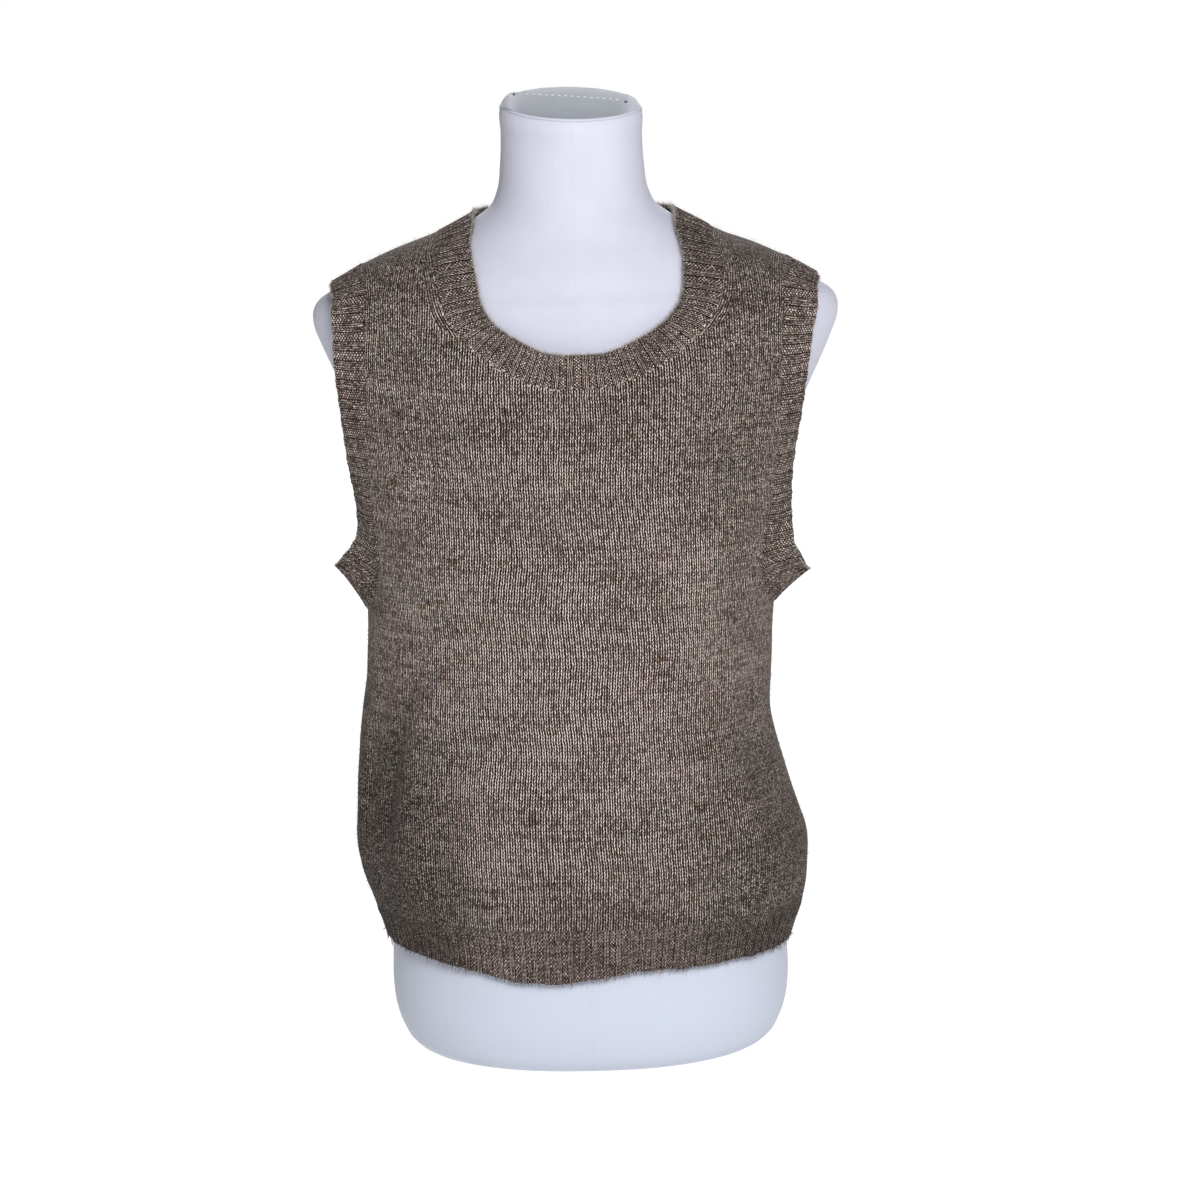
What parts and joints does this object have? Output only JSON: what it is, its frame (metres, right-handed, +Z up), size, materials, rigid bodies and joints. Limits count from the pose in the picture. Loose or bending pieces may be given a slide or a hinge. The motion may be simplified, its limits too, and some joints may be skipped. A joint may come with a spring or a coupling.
{
  "type": "knitted sweater vest on dress form",
  "caption": "Round-necked sleeveless knitted vest with ribbed neckband, armbands and hem, worn by a limbless padded dress form that stands on its flat base.",
  "frame": {"origin": "centre of the dress form's flat base, on the surface it stands on", "axes": "+Z up through the neck, -Y towards the front of the vest, +X towards the right as seen from the front"},
  "size_m": [0.366, 0.2484, 0.6811],
  "materials": {
    "knit": "matte brushed wool-blend stockinette, heathered taupe",
    "rib_knit": "matte brushed wool-blend rib, heathered taupe",
    "form_fabric": "smooth stretched cover, cool white",
    "cap_fabric": "plain woven cover, pale grey"
  },
  "bodies": {
    "root": {"vest_front": "knit", "vest_back": "knit", "hem_rib_front": "rib_knit", "hem_rib_back": "rib_knit", "neckband": "rib_knit", "armband_left": "rib_knit", "armband_right": "rib_knit", "dress_form": "form_fabric", "form_neck_cap": "cap_fabric"}
  },
  "joints": []
}
